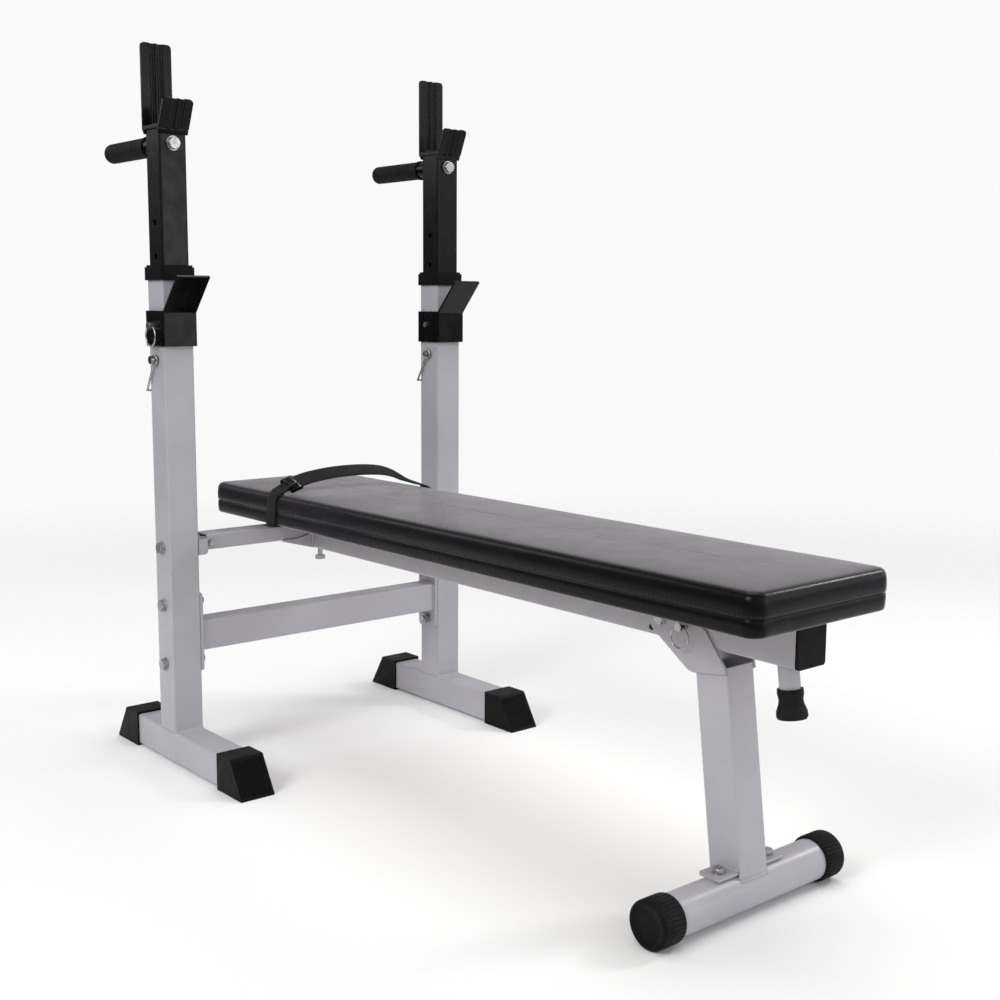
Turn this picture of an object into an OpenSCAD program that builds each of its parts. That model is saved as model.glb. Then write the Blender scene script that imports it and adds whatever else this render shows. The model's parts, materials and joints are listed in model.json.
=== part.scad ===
// Folding weight bench with a height-adjustable barbell rack, safety catches and dip handles.
// Millimetres, +Z up. The origin is on the floor at the middle of the part's outline: +X points to
// the foot end of the bench, and the two posts stand at x = post_x, left at -Y and right at +Y.

/* [Frame] */
// Distance between the two posts, centre to centre
post_span = 525; // [480:5:600]
// Outside width of the square frame tube
tube_w = 50; // [48:1:50]
// Wall thickness of the frame tube
tube_wall = 2; // [1.5:0.25:2]
// Height of the top of the posts
post_top = 783; // [783:1:800]
// Height of the bench hinge
pivot_z = 348; // [346:1:350]

/* [Bench] */
// Length of the pad
pad_len = 1179; // [1140:1:1200]
// Width of the pad
pad_w = 251; // [220:1:280]
// Thickness of the pad with its board
pad_t = 51; // [40:1:60]
// Radius of the pad's corners seen from above
pad_corner = 20; // [15:1:40]

/* [Rack] */
// Height of the rack tube's top, with the rack in its middle hole
rack_top = 988; // [980:1:1000]
// Distance between two height holes
hole_pitch = 52; // [50:1:53]
// Height of the bar hook above the rack tube
hook_h = 130; // [100:1:140]
// Length of a dip handle from the rack tube to its end
dip_len = 168; // [140:1:180]

/* [Front foot] */
// Length of the round foot with its caps
foot_len = 334; // [300:2:420]
// Diameter of the caps of the round foot
foot_cap_d = 60; // [58:1:66]

/* [Hidden] */

post_x = -428;
post_y = post_span / 2;
half = tube_w / 2;
bore_w = tube_w - 2 * tube_wall;

// Colours
frame_grey = [0.70, 0.69, 0.72];
black_steel = [0.08, 0.08, 0.09];
black_plastic = [0.12, 0.12, 0.13];
zinc = [0.75, 0.75, 0.77];
vinyl = [0.17, 0.16, 0.19];

// Floor feet and their caps, along X from the post
cap_wall = 3;
cap_top = tube_w + 7;
foot_z = cap_wall + half;
foot_front = 200;
foot_rear = -138;
cap_inner_front = 164.5;
cap_inner_rear = -104;
cap_slope = 36;
cap_len = 73.5;

// Heights on the posts
lock_pin_z = 642;
catch_pin_z = lock_pin_z + hole_pitch;
crossbar_bolt_z = [161, 256];
crossbar_z = [178, 227];
plate_t = 5;
pin_r = 4.5;
pin_hole_r = 4.8;
m10_r = 5;
m10_hole_r = 5.05;
m6_r = 3;
m6_hole_r = 3.05;
m8_r = 4;
m8_hole_r = 4.05;

// Collar of the safety catch
collar_w = 58;
collar_z = [663, 717];
catch_reach = [47, 53];
catch_t = 4;
catch_in = 2;

// Bushing on top of the post
bushing_w = 58;
bushing_z = [post_top - 20, post_top + 3];

// Rack
rack_w = bore_w - 1.4;
rack_wall = 2;
rack_bottom = 512;
rack_holes = [for (i = [-2 : 4]) lock_pin_z + i * hole_pitch];
dip_bolt_z = rack_top - 21;
dip_r = 14;
grip_r = 15.5;
grip_start = 30;
hook_w = 50;

// Bench, with x measured from the post plane
beam_z = [373 - tube_w, 373];
beam_x = [20, 1025];
bar_z = [340, 365];
bar_half_x = 20;
ear_gap = 0.5;
ear_t = 4;
bar_end_y = post_y - half - 17;
tongue_bolt_y = bar_end_y - 7;
tongue_bolt_z = 351;
stop_x = 6;
stop_z = 299;
stop_head = [8.5, 6];
pad_start = -131;
pad_x = [pad_start, pad_start + pad_len];
pad_z = 376;
board_t = 12;
board_in = 8;
bracket_x = [235, 790];
screw_y = 60;

// Front leg, with x measured from the post plane
leg_pivot = [823, 347];
leg_pin = [863, 345.5];
spare_hole = [803, 332];
foot_plate_t = 4;
foot_r = 26.5;
foot_cz = foot_cap_d / 2;
leg_low = [932, foot_cz + foot_r + foot_plate_t];
leg_high = [901, 301];
leg_tilt = atan2(leg_low[0] - leg_high[0], leg_high[1] - leg_low[1]);
side_in = half + 0.4;
side_t = 3;
foot_x = 940;
foot_plate_x = 938;
foot_plate_w = 32;
leg_end = foot_cz + 18;
foot_cap_len = 36;
foot_bolt_y = 45;
pull_travel = 4;

// Strap: the middle line of the webbing, round the pad and back under it
strap_w = 28;
strap_t = 1.6;
side_y = pad_w / 2 + 1.8;
strap_top = pad_z + pad_t;
strap_low = pad_z - 1.1;
strap_path = [
    [60, -side_y, pad_z + 6], [62, -side_y, strap_top - 30], [64, -side_y, strap_top - 9],
    [68, -side_y + 3, strap_top + 1], [72, -side_y + 12, strap_top + 7], [72, -74, strap_top + 20],
    [76, -50, strap_top + 25], [82, -20, strap_top + 29], [87, 15, strap_top + 30.5],
    [90, 50, strap_top + 29], [94, 75, strap_top + 25], [105, 93, strap_top + 17],
    [122, 108, strap_top + 8], [134, side_y - 4, strap_top + 2], [140, side_y, strap_top - 9],
    [140, side_y, strap_top - 30], [138, side_y, pad_z + 6], [136, side_y, pad_z - 0.4],
    [134, side_y - 1.8, strap_low], [110, 40, strap_low], [88, -40, strap_low],
    [62, -side_y + 1.8, strap_low], [60, -side_y, pad_z - 0.4]];

// Building blocks

// Corner points of a rectangle w by h with round corners of radius r
function round_rect(w, h, r, steps = 5) = [
    for (q = [0 : 3])
        for (i = [0 : steps])
            let (a = 90 * q + 90 * i / steps)
            let (sx = (q == 0 || q == 3) ? 1 : -1)
            let (sy = (q < 2) ? 1 : -1)
            [sx * (w / 2 - r) + r * cos(a), sy * (h / 2 - r) + r * sin(a)]];

// Square tube along Z with its lower end at the origin
module tube(w, h, wall, len, r = 3) {
    difference() {
        linear_extrude(len) polygon(round_rect(w, h, r));
        translate([0, 0, -1]) linear_extrude(len + 2)
            polygon(round_rect(w - 2 * wall, h - 2 * wall, r - wall / 2));
    }
}

// Turns Z into X, Y and -Y
module along_x() rotate([90, 0, 90]) children();
module along_y() rotate([-90, 0, 0]) children();

// Cylinder along Y through the point x, z
module y_rod(x, z, y0, y1, r) translate([x, y0, z]) along_y() cylinder(r = r, h = y1 - y0, $fn = 40);

// An XZ outline made into a plate between two Y values
module xz_plate(y0, y1) translate([0, y1, 0]) rotate([90, 0, 0]) linear_extrude(y1 - y0) children();

// Hexagon head with its washer on the plane z = 0, and a shank that reaches down to -len
module hex_bolt(r, len, washer_r, af) {
    cylinder(r = washer_r, h = 1.6, $fn = 40);
    translate([0, 0, 1.6]) intersection() {
        cylinder(r = af / sqrt(3), h = r * 1.25, $fn = 6);
        cylinder(r1 = af / 1.8 + 3, r2 = af / 2, h = r * 1.25, $fn = 40);
    }
    translate([0, 0, -len]) cylinder(r = r, h = len + 1, $fn = 40);
}

// Hexagon nut with its washer on the plane z = 0
module hex_nut(r, washer_r, af) {
    difference() {
        union() {
            cylinder(r = washer_r, h = 1.6, $fn = 40);
            translate([0, 0, 1.6]) cylinder(r = af / sqrt(3), h = r * 1.5, $fn = 6);
        }
        translate([0, 0, -1]) cylinder(r = r + 0.05, h = r * 2 + 10, $fn = 40);
    }
}

// Places a left-hand part at the left post, or its mirror image at the right one
module at_post(side) translate([post_x, 0, 0]) mirror([0, side > 0 ? 1 : 0, 0])
    translate([0, -post_y, 0]) children();
module at_bench() translate([post_x, 0, 0]) children();

// Frame

module floor_foot(side) {
    color(frame_grey) at_post(side) translate([foot_rear, 0, foot_z]) along_x()
        tube(tube_w, tube_w, tube_wall, foot_front - foot_rear);
}

module post(side) {
    color(frame_grey) at_post(side) difference() {
        translate([0, 0, foot_z + half]) tube(tube_w, tube_w, tube_wall, post_top - foot_z - half);
        for (z = [catch_pin_z, lock_pin_z]) y_rod(0, z, -half - 1, half + 1, pin_hole_r);
        for (z = [crossbar_bolt_z[0], crossbar_bolt_z[1], pivot_z])
            y_rod(0, z, -half - 1, half + 1, m10_hole_r);
    }
}

// Cap on the end of a floor foot, pointing along +X from its open end, with ribs on the sloped face
module floor_cap(open_x) {
    rib_n = 13;
    rib_h = 1.5;
    rib_w = 1.9;
    rib_z = [6, cap_top - 4];
    lip_h = 3;
    cap_w = tube_w + 2 * cap_wall;
    toe = cap_len - cap_slope + lip_h;
    slope = (cap_len - toe) / (cap_top - lip_h);
    face_x = [for (z = rib_z) cap_len - slope * (z - lip_h)];
    difference() {
        translate([open_x, 0, 0]) union() {
            xz_plate(-cap_w / 2, cap_w / 2)
                polygon([[0, 0], [cap_len, 0], [cap_len, lip_h], [toe, cap_top], [0, cap_top]]);
            for (i = [0 : rib_n - 1])
                let (y = -cap_w / 2 + 4 + i * (cap_w - 8) / (rib_n - 1))
                xz_plate(y - rib_w / 2, y + rib_w / 2) polygon([
                    [face_x[0] - 3, rib_z[0]], [face_x[0] + rib_h, rib_z[0]], [face_x[1] + rib_h, rib_z[1]],
                    [face_x[1] - 3, rib_z[1]]]);
        }
        translate([open_x - 1, 0, foot_z]) along_x()
            linear_extrude(foot_front - cap_inner_front + 1.2)
                polygon(round_rect(tube_w + 0.2, tube_w + 0.2, 3));
    }
}

module front_floor_cap(side) color(black_plastic) at_post(side) floor_cap(cap_inner_front);
module rear_floor_cap(side) color(black_plastic) at_post(side) mirror([1, 0, 0]) floor_cap(-cap_inner_rear);

plate_y = post_y - half;
module lower_crossbar() {
    bar_len = 2 * (plate_y - plate_t);
    color(frame_grey) at_bench() difference() {
        translate([0, -bar_len / 2, (crossbar_z[0] + crossbar_z[1]) / 2]) along_y()
            tube(40, crossbar_z[1] - crossbar_z[0], tube_wall, bar_len);
        translate([0, 0, crossbar_z[1] - 5]) cylinder(r = 3.5, h = 10, $fn = 32);
    }
}

module crossbar_end_plates() {
    z_mid = (crossbar_bolt_z[0] + crossbar_bolt_z[1]) / 2;
    color(frame_grey) for (side = [-1, 1]) at_post(side) difference() {
        translate([0, half + plate_t, z_mid]) rotate([90, 0, 0]) linear_extrude(plate_t)
            polygon(round_rect(48, crossbar_bolt_z[1] - crossbar_bolt_z[0] + 32, 8));
        for (z = crossbar_bolt_z) y_rod(0, z, half - 1, half + plate_t + 1, m10_hole_r);
    }
}

module crossbar_bolts() {
    color(zinc) for (side = [-1, 1]) at_post(side) for (z = crossbar_bolt_z)
        translate([0, -half, z]) rotate([90, 0, 0]) hex_bolt(m10_r, tube_w + plate_t + 12, 10, 16);
}

module frame_nuts() {
    color(zinc) for (side = [-1, 1]) at_post(side) {
        for (z = crossbar_bolt_z) translate([0, half + plate_t, z]) along_y() hex_nut(m10_r, 10, 16);
        translate([0, half + ear_gap + ear_t + 0.4, pivot_z]) along_y() hex_nut(m10_r, 9.5, 16);
    }
}

module bench_pivot_bolts() {
    color(zinc) for (side = [-1, 1]) at_post(side) translate([0, -half, pivot_z]) rotate([90, 0, 0])
        hex_bolt(m10_r, tube_w + ear_gap + ear_t + 11.5, 10, 16);
}

module post_bushing(side) {
    color(black_plastic) at_post(side) difference() {
        union() {
            translate([0, 0, bushing_z[0]]) linear_extrude(20) polygon(round_rect(bushing_w, bushing_w, 5));
            translate([0, 0, bushing_z[1] - 3]) linear_extrude(3)
                polygon(round_rect(bushing_w - 4, bushing_w - 4, 5));
        }
        translate([0, 0, bushing_z[0] - 1]) linear_extrude(21)
            polygon(round_rect(tube_w + 0.2, tube_w + 0.2, 3));
        translate([0, 0, bushing_z[0]]) linear_extrude(40)
            polygon(round_rect(rack_w + 0.8, rack_w + 0.8, 3));
    }
}

// Collar round the post, with a plate on its front that leans away from the post
module safety_catch(side) {
    cw = collar_w / 2;
    lean = norm(catch_reach);
    nx = catch_t * catch_reach[1] / lean;
    nz = catch_t * catch_reach[0] / lean;
    color(black_steel) at_post(side) difference() {
        union() {
            translate([0, 0, collar_z[0]]) linear_extrude(collar_z[1] - collar_z[0])
                polygon(round_rect(collar_w, collar_w, 5));
            xz_plate(-cw + catch_in, cw - catch_in) polygon([
                [cw - 3, collar_z[0]], [cw + nx, collar_z[0]], [cw + nx, collar_z[1] - nz],
                [cw + nx + catch_reach[0], collar_z[1] - nz + catch_reach[1]],
                [cw + catch_reach[0], collar_z[1] + catch_reach[1]], [cw, collar_z[1]],
                [cw - 3, collar_z[1]]]);
        }
        translate([0, 0, collar_z[0] - 1]) linear_extrude(collar_z[1] - collar_z[0] + 2)
            polygon(round_rect(tube_w + 0.4, tube_w + 0.4, 3));
        y_rod(0, catch_pin_z, -cw - 1, cw + 1, pin_hole_r);
    }
}

// Pin along Y through the post at height z, with a drilled knob on the outer side
knob_len = 10;
knob_hole = 5.5;
ring_hole_r = 3;
module ring_pin(z, x, face_y, tip_y, knob_r, r, hole_r) {
    difference() {
        union() {
            y_rod(x, z, face_y - knob_len, face_y - 0.3, knob_r);
            y_rod(x, z, face_y - 1, tip_y, r);
        }
        translate([x - 20, face_y - knob_hole, z]) along_x() cylinder(r = hole_r, h = 40, $fn = 32);
    }
}

// Wire ring that hangs from the knob's cross hole, in the XZ plane
module hanging_ring(z, x, face_y, ring_r, wire_r) {
    translate([x, face_y - knob_hole, z - ring_r]) rotate([90, 0, 0])
        rotate_extrude($fn = 64) translate([ring_r, 0]) circle(r = wire_r, $fn = 24);
}

catch_ring_r = 15.5;
catch_wire_r = 1.4;
module catch_pin(side) color(zinc) at_post(side)
    ring_pin(catch_pin_z, 0, -collar_w / 2, collar_w / 2 + 5, 6, pin_r, ring_hole_r);
module catch_ring(side) color(zinc) at_post(side)
    hanging_ring(catch_pin_z, 0, -collar_w / 2, catch_ring_r, catch_wire_r);

// Lock pin under the collar, with a wire bail whose two eyes sit on the pin
bail_wire = 1.6;
bail_eye_wire = 1.75;
bail_bend_r = 1.9;
bail_eye_r = 7.2;
bail_y = half + 2.2 + bail_bend_r;
bail_drop = [-27.6, -48];
module lock_pin(side) {
    color(zinc) at_post(side) {
        y_rod(0, lock_pin_z, -bail_y - bail_bend_r - 6, -bail_y - bail_bend_r - 0.4, 6.3);
        y_rod(0, lock_pin_z, -bail_y - bail_bend_r - 1, bail_y + bail_bend_r + 4, pin_r);
    }
}

module wire(a, b, r) {
    d = b - a;
    translate(a) rotate([0, acos(d[2] / norm(d)), atan2(d[1], d[0])]) cylinder(r = r, h = norm(d), $fn = 40);
}

module pin_bail(side) {
    len = norm(bail_drop);
    dir = bail_drop / len;
    centre = [0, 0, lock_pin_z];
    color(zinc) at_post(side) {
        union() {
            for (y = [-bail_y, bail_y]) {
                translate(centre + [0, y, 0]) rotate([90, 0, 0])
                    rotate_extrude($fn = 72) translate([bail_eye_r, 0]) circle(r = bail_eye_wire, $fn = 40);
                wire(centre + [dir[0] * bail_eye_r, y, dir[1] * bail_eye_r],
                     centre + [bail_drop[0], y, bail_drop[1]], bail_wire);
                translate(centre + [bail_drop[0], y, bail_drop[1]]) sphere(r = bail_bend_r, $fn = 48);
            }
            wire(centre + [bail_drop[0], -bail_y, bail_drop[1]],
                 centre + [bail_drop[0], bail_y, bail_drop[1]], bail_wire);
        }
    }
}

// Rack

module rack_tube(side) {
    color(black_steel) at_post(side) difference() {
        translate([0, 0, rack_bottom]) tube(rack_w, rack_w, rack_wall, rack_top - rack_bottom);
        for (z = rack_holes) y_rod(0, z, -rack_w, rack_w, pin_hole_r);
        translate([-rack_w, 0, dip_bolt_z]) along_x() cylinder(r = m10_hole_r, h = 2 * rack_w, $fn = 40);
    }
}

// Strip of the bar hook along Z: two stamped grooves on its +X face, and a rounded far end
module hook_strip(len) {
    groove_y = 6.2;
    groove_r = 5;
    groove_x = hook_t / 2 + 1;
    stamped_t = 2.5;
    intersection() {
        linear_extrude(len) difference() {
            union() {
                square([hook_t, hook_w], center = true);
                for (y = [-groove_y, groove_y]) intersection() {
                    translate([groove_x, y]) circle(r = groove_r + stamped_t, $fn = 48);
                    translate([-20, -hook_w / 2]) square([20, hook_w]);
                }
            }
            for (y = [-groove_y, groove_y]) translate([groove_x, y]) circle(r = groove_r, $fn = 48);
        }
        translate([-20, 0, 0]) along_x() linear_extrude(40) polygon(round_rect(hook_w, 2 * len, 6));
    }
}

// J-shaped hook on the tube's top: a tall grooved back and a short leaning lip
hook_t = 4;
module bar_hook(side) {
    hw = hook_w / 2;
    back_x = -rack_w / 2 - hook_t;
    lip_x = rack_w / 2 + 3;
    floor_z = rack_top + 6;
    lip = [18, 41];
    color(black_steel) at_post(side) difference() {
        union() {
            translate([back_x, 0, rack_top + 2]) hook_strip(hook_h - 2);
            translate([lip_x, 0, rack_top + 1]) rotate([0, atan2(lip[0], lip[1]), 0])
                mirror([1, 0, 0]) hook_strip(norm(lip));
            xz_plate(-hw, hw) polygon([
                [-rack_w / 2, rack_top - 6], [back_x - hook_t / 2, rack_top + 2],
                [back_x - hook_t / 2, rack_top + 12], [back_x + hook_t / 2, rack_top + 12],
                [back_x + hook_t / 2, floor_z], [lip_x, floor_z], [lip_x, rack_top - 2],
                [rack_w / 2, rack_top - 8], [rack_w / 2, rack_top], [-rack_w / 2, rack_top]]);
        }
        translate([-rack_w / 2, -hook_w, rack_top - 60]) cube([rack_w, 2 * hook_w, 60]);
    }
}

module dip_handle(side) {
    color(black_steel) at_post(side) translate([-rack_w / 2, 0, dip_bolt_z]) mirror([1, 0, 0]) along_x()
        difference() {
            cylinder(r = dip_r, h = dip_len - 5, $fn = 48);
            translate([0, 0, 14]) cylinder(r = dip_r - 2, h = dip_len, $fn = 48);
            translate([0, 0, -1]) cylinder(r = m10_hole_r, h = 20, $fn = 40);
        }
}

module dip_grip(side) {
    end_r = 5;
    color(black_plastic) at_post(side) translate([-rack_w / 2, 0, dip_bolt_z]) mirror([1, 0, 0]) along_x()
        difference() {
            translate([0, 0, grip_start]) rotate_extrude($fn = 64) polygon(concat(
                [[0, 0], [grip_r + 1.2, 0], [grip_r + 1.2, 6], [grip_r, 8]],
                [for (i = [0 : 6]) [grip_r - end_r + end_r * cos(15 * i),
                                    dip_len - grip_start - end_r + end_r * sin(15 * i)]],
                [[0, dip_len - grip_start]]));
            translate([0, 0, grip_start - 1])
                cylinder(r = dip_r + 0.1, h = dip_len - grip_start - 4, $fn = 48);
        }
}

module dip_bolt(side) {
    color(zinc) at_post(side) translate([rack_w / 2, 0, dip_bolt_z]) along_x()
        hex_bolt(m10_r, rack_w + 20, 11, 17);
}

// Bench

module bench_beam() {
    color(frame_grey) at_bench() difference() {
        translate([beam_x[0], 0, (beam_z[0] + beam_z[1]) / 2]) along_x()
            tube(tube_w, tube_w, tube_wall, beam_x[1] - beam_x[0]);
        y_rod(spare_hole[0], spare_hole[1], -half - 1, half + 1, m8_hole_r);
        y_rod(leg_pivot[0], leg_pivot[1], -half - 1, half + 1, m8_hole_r);
        y_rod(leg_pin[0], leg_pin[1], -half - 1, 0, pin_hole_r);
    }
}

module beam_end_cap() {
    color(black_plastic) at_bench() translate([beam_x[1], 0, (beam_z[0] + beam_z[1]) / 2]) along_x() {
        linear_extrude(4) polygon(round_rect(tube_w + 1, tube_w + 1, 4));
        translate([0, 0, -14]) linear_extrude(15) polygon(round_rect(bore_w - 0.4, bore_w - 0.4, 2));
    }
}

module bench_crossbar() {
    color(frame_grey) at_bench() difference() {
        translate([0, -bar_end_y, (bar_z[0] + bar_z[1]) / 2]) along_y()
            tube(2 * bar_half_x, bar_z[1] - bar_z[0], tube_wall, 2 * bar_end_y);
        for (y = [-tongue_bolt_y, tongue_bolt_y]) translate([0, y, tongue_bolt_z]) along_x()
            cylinder(r = m6_hole_r, h = 40, $fn = 40);
        translate([stop_x, 0, bar_z[0] - 1]) cylinder(r = m8_hole_r, h = 8, $fn = 40);
    }
}

// Bracket that turns on the pivot bolt: an ear beside the post, a folded tab at its front, and a
// tongue that sits inside the end of the crossbar
module pivot_bracket(side) {
    ear_y = half + ear_gap;
    ear_r = 16;
    tab_end = post_y - bar_end_y - 0.5;
    tab_z = [334, 359];
    tongue = [3.7, 30, 18.4];
    tongue_x = bar_half_x - tube_wall - 0.3 - tongue[0];
    bolt_y = post_y - tongue_bolt_y;
    color(frame_grey) at_post(side) difference() {
        union() {
            xz_plate(ear_y, ear_y + ear_t) union() {
                translate([0, pivot_z]) circle(r = ear_r, $fn = 48);
                translate([-ear_r, pivot_z]) square([bar_half_x + ear_r, bar_z[1] - pivot_z]);
                translate([0, tab_z[0]]) square([bar_half_x + ear_t, tab_z[1] - tab_z[0]]);
            }
            translate([bar_half_x, 0, 0]) along_x() linear_extrude(ear_t) polygon([
                [ear_y, tab_z[0]], [tab_end - 5, tab_z[0]], [tab_end - 1.5, tab_z[0] + 1.5],
                [tab_end, tab_z[0] + 5], [tab_end, tab_z[1]], [ear_y, tab_z[1]]]);
            translate([tongue_x, ear_y + 1, (bar_z[0] + bar_z[1] - tongue[2]) / 2])
                cube([tongue[0], tongue[1], tongue[2]]);
        }
        y_rod(0, pivot_z, ear_y - 1, ear_y + ear_t + 1, m10_hole_r);
        translate([0, bolt_y, tongue_bolt_z]) along_x() cylinder(r = m6_hole_r, h = bar_half_x, $fn = 40);
    }
}

// Bolts through the bracket tongues, and a stop bolt under the crossbar
module bench_bolts() {
    color(zinc) at_bench() {
        for (y = [-tongue_bolt_y, tongue_bolt_y]) translate([bar_half_x, y, tongue_bolt_z]) along_x()
            hex_bolt(m6_r, 12, 5.6, 9);
        translate([stop_x, 0, stop_z + stop_head[1]]) cylinder(r = m8_r, h = 40, $fn = 40);
        translate([stop_x, 0, stop_z]) cylinder(r = stop_head[0], h = stop_head[1], $fn = 40);
    }
}

// Web plates in the corners between the crossbar and the beam, welded to the front of the bar
module beam_gusset() {
    color(frame_grey) at_bench() for (m = [0, 1]) mirror([0, m, 0])
        translate([bar_half_x, 0, 0]) along_x() linear_extrude(3) polygon([
            [half, beam_z[0]], [84, bar_z[0] - 1], [80, bar_z[0] + 1], [62, bar_z[0] + 1],
            [46, bar_z[0] + 3], [36, bar_z[0] + 6], [half, bar_z[0] + 12]]);
}

stub_tilt = 8;
stub_x = 996;
module stub_tube() {
    color(frame_grey) at_bench() difference() {
        translate([stub_x, 0, beam_z[0]]) rotate([0, -stub_tilt, 0]) translate([0, 0, -38])
            difference() {
                cylinder(r = 12.5, h = 44, $fn = 48);
                translate([0, 0, -1]) cylinder(r = 10.5, h = 60, $fn = 48);
            }
        translate([stub_x - 50, -50, beam_z[0]]) cube([100, 100, 50]);
    }
}

module stub_rubber_foot() {
    color(black_plastic) at_bench() translate([stub_x, 0, beam_z[0]]) rotate([0, -stub_tilt, 0])
        translate([0, 0, -66]) difference() {
            rotate_extrude($fn = 64) polygon([[0, 0], [17, 0], [18.5, 3], [18, 9], [15, 17], [14.2, 22],
                                              [15.6, 30], [15.2, 35], [0, 35]]);
            translate([0, 0, 28]) cylinder(r = 12.6, h = 20, $fn = 48);
        }
}

module pad_board() {
    color("burlywood") at_bench() difference() {
        translate([(pad_x[0] + pad_x[1]) / 2, 0, pad_z]) linear_extrude(board_t)
            polygon(round_rect(pad_len - 2 * board_in, pad_w - 2 * board_in, pad_corner - board_in + 4));
        for (x = bracket_x) for (y = [-screw_y, screw_y])
            translate([x, y, pad_z - 1]) cylinder(r = 3.05, h = 9, $fn = 32);
    }
}

module bench_pad() {
    // Steps of the rounded top edge: how far in, and how far below the top
    edge = [[0, 9], [2.6, 2.6], [9, 0]];
    color(vinyl) at_bench() difference() {
        hull() for (sx = [0, 1]) for (sy = [-1, 1]) for (e = edge)
            translate([pad_x[sx] + (1 - 2 * sx) * pad_corner, sy * (pad_w / 2 - pad_corner), pad_z])
                cylinder(r = pad_corner - e[0], h = pad_t - e[1], $fn = 32);
        translate([(pad_x[0] + pad_x[1]) / 2, 0, pad_z - 1]) linear_extrude(board_t + 1.2)
            polygon(round_rect(pad_len - 2 * board_in + 0.4, pad_w - 2 * board_in + 0.4,
                               pad_corner - board_in + 4));
    }
}

// Cross strips between the beam and the board
module pad_brackets() {
    color(frame_grey) at_bench() for (x = bracket_x) difference() {
        translate([x - 20, -80, beam_z[1]]) cube([40, 160, pad_z - beam_z[1]]);
        for (y = [-screw_y, screw_y]) translate([x, y, beam_z[1] - 1]) cylinder(r = 3.05, h = 9, $fn = 32);
    }
}

module pad_screws() {
    color(zinc) at_bench() for (x = bracket_x) for (y = [-screw_y, screw_y]) translate([x, y, 0]) {
        translate([0, 0, beam_z[1] - 4]) cylinder(r = 6, h = 4, $fn = 40);
        translate([0, 0, beam_z[1] - 1]) cylinder(r = 3, h = 9, $fn = 32);
    }
}

// Flat webbing swept round strap_path, with its width along X
function strap_corner(i, c) =
    let (n = len(strap_path))
    let (p = strap_path[i])
    let (d = strap_path[(i + 1) % n] - strap_path[(i + n - 1) % n])
    let (m = [d[1], d[2]] / norm([d[1], d[2]]))
    let (w = (c == 0 || c == 3) ? -strap_w / 2 : strap_w / 2)
    let (t = (c < 2) ? -strap_t / 2 : strap_t / 2)
    p + [w, -m[1] * t, m[0] * t];

module foot_strap() {
    n = len(strap_path);
    points = [for (i = [0 : n - 1]) for (c = [0 : 3]) strap_corner(i, c)];
    faces = [for (i = [0 : n - 1]) for (c = [0 : 3]) for (h = [0, 1])
        let (j = (i + 1) % n)
        let (k = (c + 1) % 4)
        h == 0 ? [4 * i + c, 4 * j + c, 4 * j + k] : [4 * i + c, 4 * j + k, 4 * i + k]];
    color([0.1, 0.1, 0.1]) at_bench() polyhedron(points, faces);
}

module strap_buckle() {
    a = strap_path[4];
    b = strap_path[5];
    slope = atan2(b[2] - a[2], b[1] - a[1]);
    color(zinc) at_bench() translate((a + b) / 2) rotate([slope, 0, 0]) difference() {
        translate([-18, -14, -3.5]) cube([36, 24, 8.5]);
        translate([-strap_w / 2 - 0.6, -20, -strap_t / 2 - 0.5]) cube([strap_w + 1.2, 40, strap_t + 1]);
    }
}

// Front leg

// The leg's hinge bolt with its nut
module leg_pivot_bolt() {
    face = side_in + side_t + 0.4;
    color(zinc) at_bench() translate([leg_pivot[0], 0, leg_pivot[1]]) {
        translate([0, -face, 0]) rotate([90, 0, 0]) hex_bolt(m8_r, 2 * face + 9, 8, 13);
        translate([0, face, 0]) along_y() hex_nut(m8_r, 8, 13);
    }
}

module leg_side_outline() {
    translate(leg_low) rotate(leg_tilt) translate([-half, -20])
        square([tube_w, norm(leg_high - leg_low) + 20]);
}

module front_leg() {
    color(frame_grey) at_bench() difference() {
        translate([leg_low[0], 0, leg_low[1]]) rotate([0, -leg_tilt, 0]) translate([0, 0, -20])
            tube(tube_w, tube_w, tube_wall, norm(leg_high - leg_low) + 20);
        translate([leg_low[0] - 60, -60, leg_end - 50]) cube([120, 120, 50]);
        translate([foot_x, -60, foot_cz]) along_y() cylinder(r = foot_r + 0.1, h = 120, $fn = 72);
        translate([foot_plate_x - foot_plate_w / 2 - 0.5, -60, foot_cz])
            cube([foot_plate_w + 1, 120, leg_low[1] - foot_cz + 0.1]);
    }
}

module ear_outline() {
    polygon([[807, 333], [867, 292], [878, 290.8], [927, 297.4], [925, 306], [893, 345], [833, 366]]);
    translate(leg_pivot) circle(r = 21, $fn = 64);
}

// Two ears that hold the leg between them and turn on the beam's sides
module leg_bracket() {
    sleeve_r = 7.5;
    sleeve_len = 1;
    color(frame_grey) at_bench() difference() {
        union() {
            for (side = [-1, 1]) {
                y = side * (side_in + side_t / 2);
                xz_plate(y - side_t / 2, y + side_t / 2) ear_outline();
                y2 = side * (half + 0.25);
                xz_plate(y2 - 0.25, y2 + 0.25) intersection() {
                    ear_outline();
                    leg_side_outline();
                }
            }
            y_rod(leg_pin[0], leg_pin[1], -side_in - side_t - sleeve_len, -side_in - side_t + 1, sleeve_r);
        }
        y_rod(leg_pivot[0], leg_pivot[1], -40, 40, m8_hole_r);
        y_rod(leg_pin[0], leg_pin[1], -60, 0, pin_hole_r);
    }
}

module foot_plate() {
    color(frame_grey) at_bench() difference() {
        translate([foot_plate_x, 0, leg_low[1] - foot_plate_t]) linear_extrude(foot_plate_t)
            polygon(round_rect(foot_plate_w, 122, 3));
        for (y = [-foot_bolt_y, foot_bolt_y])
            translate([foot_x, y, 50]) cylinder(r = m8_hole_r, h = 30, $fn = 40);
    }
}

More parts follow.
